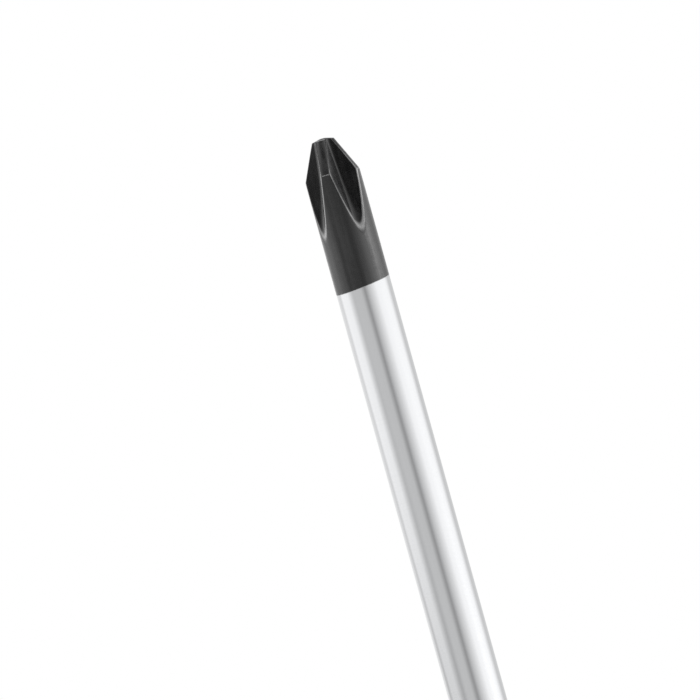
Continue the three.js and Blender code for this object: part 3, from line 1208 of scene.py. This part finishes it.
@dataclass
class EndCap:
    """The hard butt, with its spigot and its hanging hole."""

    barrel: Barrel
    top: float
    spigot_end: float
    spigot_radius: float = 9.0 * MM
    spigot_chamfer: float = 1.0 * MM
    edge: float = 0.4 * MM
    hole_radius: float = 4.0 * MM
    hole_height: float = 13.0 * MM
    hole_flare: float = 2.5 * MM
    hole_overrun: float = 1.0 * MM
    hole_steps: int = 96
    flare_rows: int = 10
    dome_rows: int = 18
    side_rows: int = 14
    steps: int = 216

    def lobed(self, radius: float, angle: float, height: float) -> Point:
        """Moves a point of the turned cap out to the lobes."""
        share = smoothstep(radius, self.spigot_radius, self.barrel.butt_radius)
        return radius + self.barrel.lobe(height, angle) * share, angle

    def hole(self) -> bpy.types.Object:
        """Builds the cutter of the hanging hole.

        Returns:
            A round bar along X with flared ends.
        """
        surface = self.barrel.radius(self.hole_height, 0.0)
        upper = []
        for turn in spaced(0.0, math.pi / 2, self.flare_rows):
            radius = self.hole_radius + self.hole_flare * (1.0 - math.cos(turn))
            upper.append((radius, surface - self.hole_flare * (1.0 - math.sin(turn))))
        beyond = surface + self.hole_overrun
        upper += [(self.hole_radius + self.hole_flare, beyond), (0.0, beyond)]
        lower = [(radius, -height) for radius, height in reversed(upper)]
        mesh = turned(lower + upper, self.hole_steps)
        lie = Matrix.Translation(UP * self.hole_height) @ Matrix.Rotation(math.pi / 2, 4, "Y")
        bmesh.ops.transform(mesh, matrix=lie, verts=mesh.verts)
        return finished(mesh, "hanging_hole_cutter")

    def build(self, material: bpy.types.Material) -> None:
        """Builds and places the end cap.

        Args:
            material: Its material.
        """
        dome = gathered(self.barrel.dome_height, self.dome_rows)
        side = spaced(self.barrel.dome_height, self.top, self.side_rows)[1:]
        corners = [
            (0.0, 0.0, 0.0),
            *self.barrel.corners(dome + side, 0.0, self.edge),
            (self.spigot_radius, self.top, 0.0),
            (self.spigot_radius, self.spigot_end - self.spigot_chamfer, 0.0),
            (self.spigot_radius - self.spigot_chamfer, self.spigot_end, 0.0),
            (0.0, self.spigot_end, 0.0),
        ]
        mesh = turned(rounded(corners), self.steps)
        reshape(mesh, self.lobed)
        piece = finished(mesh, "butt_cap")
        carve(piece, self.hole())
        place(piece, "end_cap", material)


@dataclass
class Handle:
    """Everything round the tang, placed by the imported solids."""

    clearance: float = 0.3 * MM
    collar_thickness: float = 3.0 * MM

    def build(self, core: bpy.types.Object) -> None:
        """Builds the handle's pieces, and dresses the core.

        Args:
            core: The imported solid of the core, which keeps its own shape.
        """
        hard = HARD_PLASTIC.material()
        soft = SOFT_PLASTIC.material()
        shell_low, shell_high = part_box("handle_shell")
        pad_low, pad_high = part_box("grip_pad_1")
        collar_low, collar_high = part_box("front_collar")
        cap_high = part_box("end_cap")[1]
        barrel = Barrel(length=shell_high.z)
        bore = collar_high.y - self.collar_thickness
        shell = Shell(
            barrel,
            PadOutline(pad_low.z, pad_high.z, grow=self.clearance),
            start=shell_low.z,
            groove_start=collar_low.z - self.clearance,
            groove_end=collar_high.z + self.clearance,
            groove_radius=bore - self.clearance,
        )
        shell.build(hard)
        EndCap(barrel, top=shell_low.z - self.clearance, spigot_end=cap_high.z).build(hard)
        Collar(collar_low.z, collar_high.z, flat=collar_high.y, bore=bore).build(soft)
        pad = GripPad(barrel, PadOutline(pad_low.z, pad_high.z))
        for number in range(1, barrel.lobes + 1):
            pad.build(number, soft)
        dress(core, CORE_PLASTIC.material())
        LOG.info("%s: %d faces, as packed", core.name, len(core.data.polygons))


# Stage


@dataclass(frozen=True)
class Camera:
    """A long lens that looks at the point of the blade from a little below, rolled as the photograph is."""

    azimuth: float = math.radians(15.0)
    elevation: float = math.radians(-3.0)
    roll: float = math.radians(15.5)
    distance: float = 0.9
    frame_width: float = 74.3 * MM
    below_point: float = 22.465 * MM
    aside: float = -3.16 * MM
    sensor: float = 36.0
    clip: Point = (0.01, 100.0)

    @property
    def back(self) -> Vector:
        """Direction from the object to the camera."""
        flat = Vector((math.sin(self.azimuth), -math.cos(self.azimuth), 0.0)) * math.cos(self.elevation)
        return flat + UP * math.sin(self.elevation)

    @property
    def right(self) -> Vector:
        """Level direction to the camera's right, before its roll."""
        return Vector((math.cos(self.azimuth), math.sin(self.azimuth), 0.0))

    def build(self, top: float) -> None:
        """Adds the scene's camera.

        Args:
            top: Height of the blade's point.
        """
        back, right = self.back, self.right
        up = back.cross(right)
        across = right * math.cos(self.roll) - up * math.sin(self.roll)
        upward = right * math.sin(self.roll) + up * math.cos(self.roll)
        target = UP * (top - self.below_point) + right * self.aside
        data = bpy.data.cameras.new("camera")
        data.sensor_width = self.sensor
        data.lens = self.sensor * self.distance / self.frame_width
        data.clip_start, data.clip_end = self.clip
        camera = bpy.data.objects.new("camera", data)
        turn = Matrix((across, upward, back)).transposed().to_4x4()
        camera.matrix_world = Matrix.Translation(target + back * self.distance) @ turn
        bpy.context.scene.collection.objects.link(camera)
        bpy.context.scene.camera = camera


@dataclass(frozen=True)
class Lamp:
    """A soft lamp: how far it stands towards the camera, to its right and up, and the height it looks at."""

    name: str
    stand: Triple
    target: float
    size: Point
    power: float
    mirrored: bool = False

    def build(self, front: Vector, right: Vector) -> bpy.types.Object:
        """Adds the lamp, which the camera doesn't see.

        Args:
            front: Direction from the object to the camera.
            right: Level direction to the camera's right.

        Returns:
            The lamp's object.
        """
        forward, aside, height = self.stand
        place_at = front * forward + right * aside + UP * height
        data = bpy.data.lights.new(self.name, "AREA")
        data.shape = "RECTANGLE"
        data.size, data.size_y = self.size
        data.energy = self.power
        lamp = bpy.data.objects.new(self.name, data)
        turn = (UP * self.target - place_at).to_track_quat("-Z", "Y").to_matrix().to_4x4()
        lamp.matrix_world = Matrix.Translation(place_at) @ turn
        lamp.visible_camera = False
        lamp.visible_glossy = self.mirrored
        bpy.context.scene.collection.objects.link(lamp)
        return lamp


@dataclass(frozen=True)
class Studio:
    """White surroundings with a soft box at each side, as polished metal shows them.

    Each ring of light is a row of (azimuth, level) stops, in degrees to the right of the camera. A pair of
    numbers says where a part of the surroundings starts, and where it is full: as an edge, a foot or a fade,
    by how far a direction points up, as a side, to the right, and as a front, to the camera.
    """

    front: Vector
    right: Vector
    fill: float = 0.75
    eye_ring: Ring = (
        (-180.0, 1.05), (-125.0, 1.05), (-112.0, 1.45), (-78.0, 1.45), (-52.0, 0.84), (-14.0, 0.81),
        (3.0, 0.45), (16.0, 0.81), (52.0, 1.44), (104.0, 1.46), (128.0, 0.87), (180.0, 0.82),
    )
    left_box_foot: Point = (0.042, 0.0)
    left_box_side: Point = (-0.55, -0.85)
    left_box_dim: float = 0.42
    upper_ring: Ring = (
        (-180.0, 0.9), (-150.0, 1.0), (-130.0, 1.5), (-110.0, 1.2), (-90.0, 0.7), (-75.0, 0.35),
        (-60.0, 0.15), (-30.0, 0.06), (15.0, 0.05), (45.0, 0.15), (70.0, 0.8), (104.0, 1.4), (120.0, 0.9),
        (150.0, 0.6), (180.0, 0.7),
    )
    upper_edge: Point = (0.1, 0.18)
    upper_fade: Point = (0.25, 0.45)
    upper_dim: float = 0.6
    lower_ring: Ring = (
        (-180.0, 0.9), (-140.0, 1.7), (-110.0, 1.5), (-90.0, 1.0), (-75.0, 0.6), (-55.0, 0.3), (-30.0, 0.1),
        (15.0, 0.08), (35.0, 0.5), (60.0, 2.4), (97.0, 3.6), (112.0, 1.2), (140.0, 0.6), (180.0, 0.7),
    )
    lower_edge: Point = (-0.05, -0.13)
    floor_edge: Point = (-0.3, -0.45)
    floor_level: float = 0.75
    strip_foot: Point = (0.56, 0.62)
    strip_front: Point = (0.1, 0.35)
    strip_side: Point = (0.45, 0.15)
    strip_level: float = 1.3
    overhead_ring: Ring = (
        (-180.0, 0.35), (-105.0, 2.4), (-80.0, 2.0), (-61.0, 0.6), (-42.0, 0.13), (-24.0, 0.13),
        (-2.0, 0.7), (20.0, 1.4), (45.0, 1.4), (80.0, 0.35), (180.0, 0.35),
    )
    overhead_edge: Point = (0.66, 0.72)
    zenith_edge: Point = (0.9, 0.96)
    zenith_level: float = 1.8
    brightest: float = 4.0
    card: Lamp = Lamp("card", (0.2441, 1.9879, -0.4207), 0.198, (0.96, 0.72), 62.0, mirrored=True)
    key: Lamp = Lamp("key", (0.9, -0.7, 1.1), 0.1, (0.7, 0.7), 9.0)
    rim: Lamp = Lamp("rim", (-0.6, 0.9, 0.8), 0.1, (0.6, 0.6), 5.0)
    floor_size: float = 3.0
    floor_colour: Colour = (0.86, 0.86, 0.86, 1.0)
    floor_roughness: float = 0.9

    def ring(self, around: Wire, stops: Ring) -> Wire:
        """The level of a ring of light, at an azimuth that goes from 0 to 1."""
        shares = [(azimuth / 360.0 + 0.5, level / self.brightest) for azimuth, level in stops]
        return around.graph.wire("ShaderNodeValToRGB", 0, {"stops": shares}, {0: around}) * self.brightest

    def surroundings(self, front: Wire, side: Wire, height: Wire) -> Wire:
        """Lights what polished metal shows, each part over the one before.

        Args:
            front: How far a direction points towards the camera.
            side: How far it points to the camera's right.
            height: How far it points up.

        Returns:
            The level in that direction.
        """
        around = side.math("ARCTAN2", side, front) * (0.5 / math.pi) + 0.5
        left_box = height.ramp(*self.left_box_foot) * side.ramp(*self.left_box_side)
        shown = self.ring(around, self.eye_ring) * (1.0 - left_box * self.left_box_dim)
        upper = self.ring(around, self.upper_ring) * (1.0 - height.ramp(*self.upper_fade) * self.upper_dim)
        shown = shown.towards(upper, height.ramp(*self.upper_edge))
        shown = shown.towards(self.ring(around, self.lower_ring), height.ramp(*self.lower_edge))
        shown = shown.towards(self.floor_level, height.ramp(*self.floor_edge))
        strip = height.ramp(*self.strip_foot) * front.ramp(*self.strip_front) * side.ramp(*self.strip_side)
        shown = shown.towards(self.strip_level, strip)
        shown = shown.towards(self.ring(around, self.overhead_ring), height.ramp(*self.overhead_edge))
        return shown.towards(self.zenith_level, height.ramp(*self.zenith_edge))

    def world(self) -> None:
        """Builds the world: white to the camera, the studio to mirrors, and an even fill to the rest."""
        world = bpy.data.worlds.new("studio")
        world.use_nodes = True
        bpy.context.scene.world = world
        graph = Graph(world.node_tree)
        ray = graph.node("ShaderNodeLightPath").outputs
        direction = graph.node("ShaderNodeTexCoord").outputs["Generated"]
        front, side, height = (graph.dot(direction, axis) for axis in (self.front, self.right, UP))
        shown = self.surroundings(front, side, height)
        glossy = Wire(graph, ray["Is Glossy Ray"]) + Wire(graph, ray["Is Transmission Ray"])
        lit = self.fill + glossy.ramp(0.0, 1.0) * (shown - self.fill)
        strength = lit.towards(1.0, Wire(graph, ray["Is Camera Ray"]))
        sky = graph.node("ShaderNodeBackground", None, {"Color": WHITE, "Strength": strength})
        graph.node("ShaderNodeOutputWorld", None, {"Surface": sky.outputs[0]})

    def floor(self) -> None:
        """Adds the pale floor that the tool stands on."""
        mesh = bmesh.new()
        bmesh.ops.create_grid(mesh, x_segments=1, y_segments=1, size=self.floor_size)
        floor = finished(mesh, "floor")
        sockets = {"Base Color": self.floor_colour, "Roughness": self.floor_roughness}
        dress(floor, MaterialGraph("pale_floor").surface(sockets))
        floor.visible_glossy = False

    def build(self, blade: bpy.types.Object) -> None:
        """Builds the world, the lamps and the floor.

        Args:
            blade: The blade's piece, which alone the bright card lights.
        """
        self.world()
        card = self.card.build(self.front, self.right)
        lit = bpy.data.collections.new("lit_by_card")
        lit.objects.link(blade)
        card.light_linking.receiver_collection = lit
        card.light_linking.blocker_collection = lit
        self.floor()
        self.key.build(self.front, self.right)
        self.rim.build(self.front, self.right)


def main() -> None:
    """Builds the pieces, their finishes and the stage."""
    logging.basicConfig(level=logging.INFO, format="%(name)s: %(message)s")
    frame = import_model()
    blade_low, blade_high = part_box("blade")
    camera = Camera()
    camera.build(blade_high.z)
    blade = Blade(top=blade_high.z, foot=blade_low.z).build()
    Handle().build(frame["nodes"]["handle_core"])
    Studio(front=camera.back, right=camera.right).build(blade)
    bpy.context.scene.view_settings.view_transform = "Standard"


if __name__ == "__main__":
    main()
